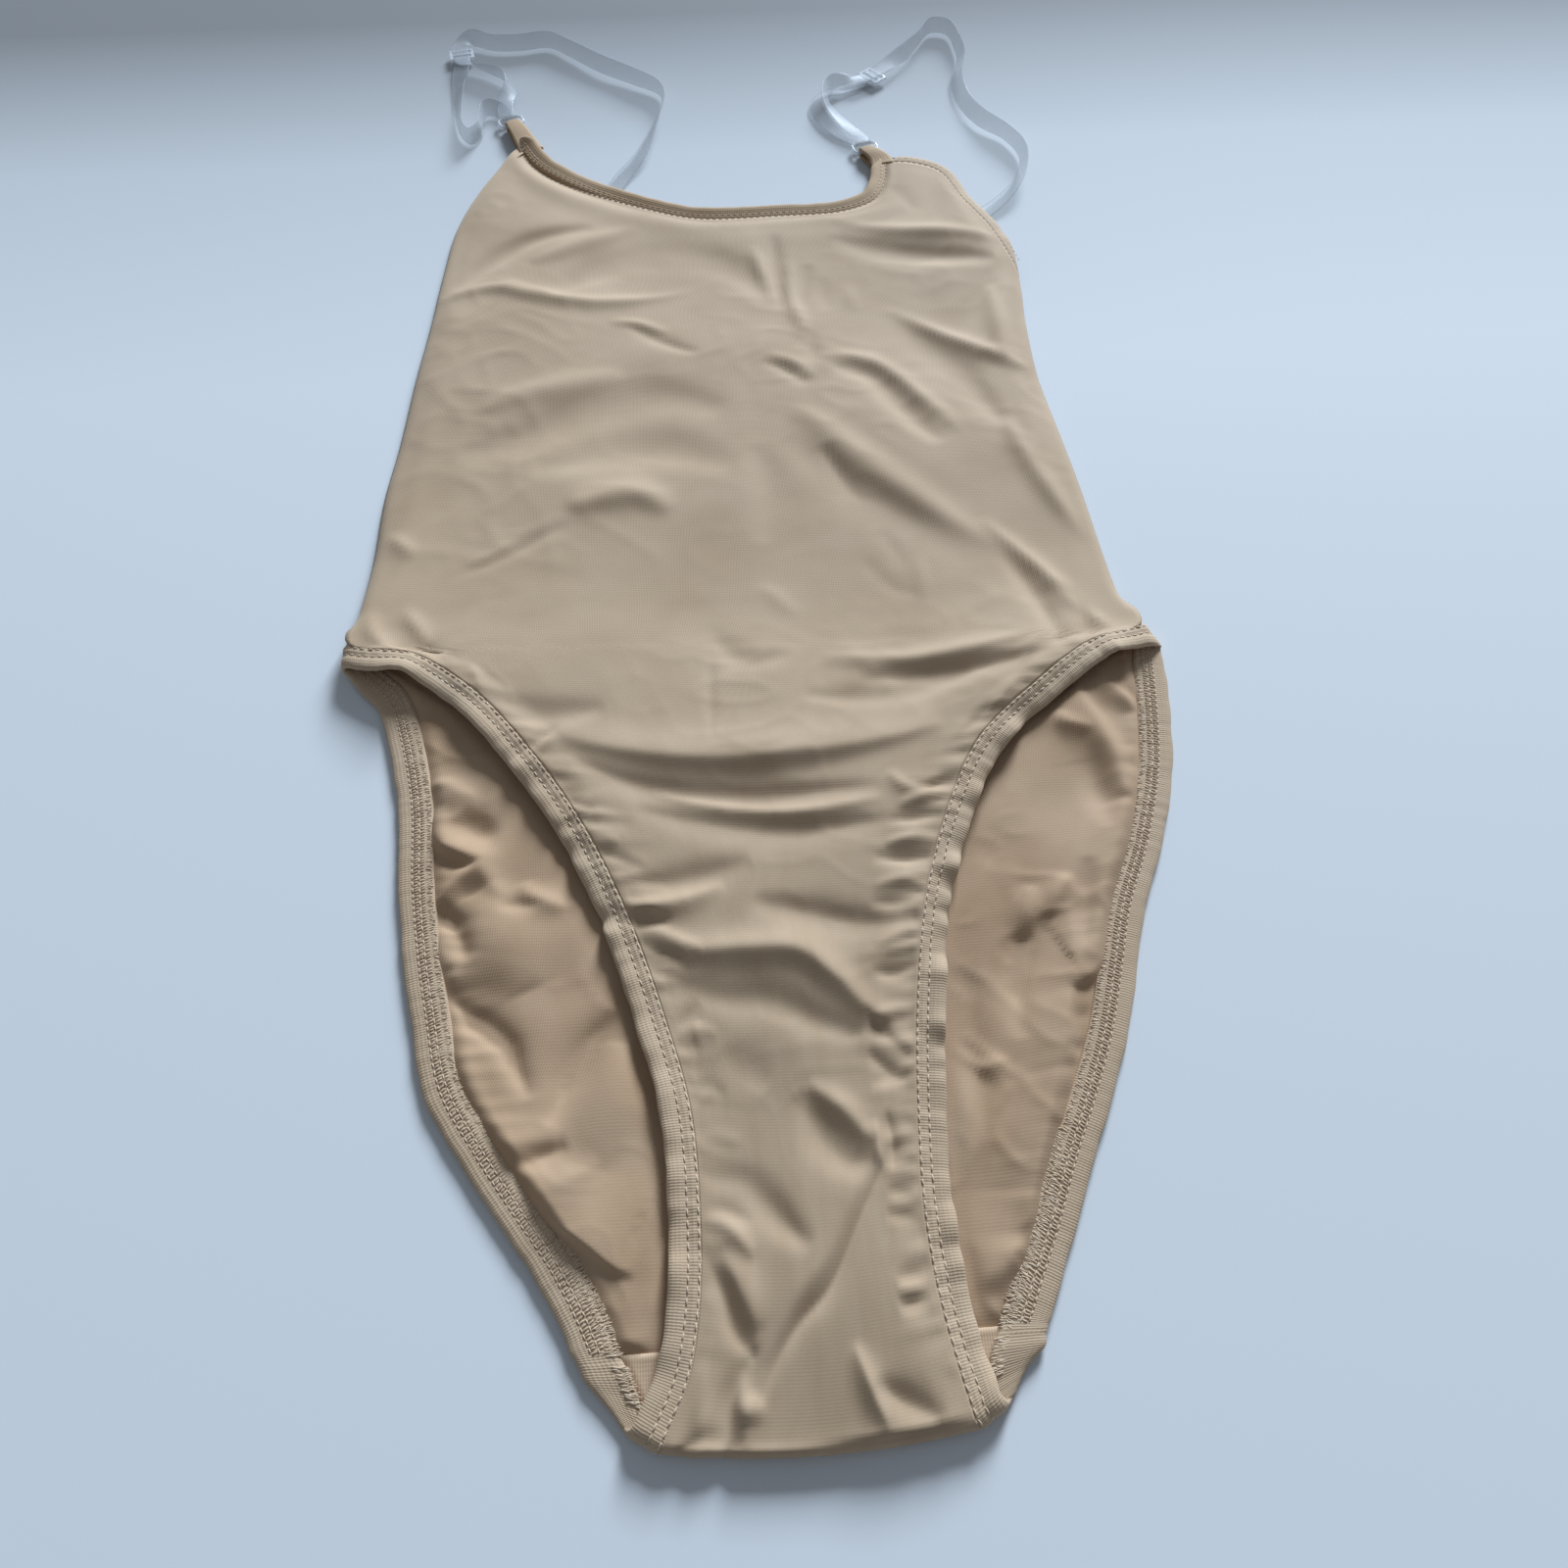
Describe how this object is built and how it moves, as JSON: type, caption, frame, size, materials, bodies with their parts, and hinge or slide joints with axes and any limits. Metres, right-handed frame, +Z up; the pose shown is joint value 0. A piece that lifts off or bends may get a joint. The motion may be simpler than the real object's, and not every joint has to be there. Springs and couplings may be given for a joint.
{
  "type": "camisole leotard",
  "caption": "Camisole leotard in plain beige stretch cloth with elastic leg and neck edges and clear adjustable straps, laid flat on its back.",
  "frame": {"origin": "middle of the laid garment's outline, straps included, on the table", "axes": "+X to the viewer's right, +Y from the crotch fold towards the straps, +Z up from the table"},
  "size_m": [0.3278, 0.7426, 0.0105],
  "materials": {
    "cloth": "matte, faint sheen",
    "cloth_inside": "matte",
    "edge": "matte",
    "clear_plastic": "clear, glossy"
  },
  "bodies": {
    "root": {"front_panel": "cloth", "back_panel": "cloth_inside", "crotch_lining": "cloth_inside", "leg_band_front_left": "edge", "leg_band_front_right": "edge", "leg_band_back_left": "edge", "leg_band_back_right": "edge", "neck_band": "edge", "arm_band_left": "edge", "arm_band_right": "edge", "back_top_band": "edge", "tab_left": "edge", "tab_right": "edge", "ring_left": "clear_plastic", "ring_right": "clear_plastic", "slider_left": "clear_plastic", "slider_right": "clear_plastic", "strap_loop_left": "clear_plastic", "strap_loop_right": "clear_plastic", "strap_left": "clear_plastic", "strap_right": "clear_plastic"}
  },
  "joints": []
}
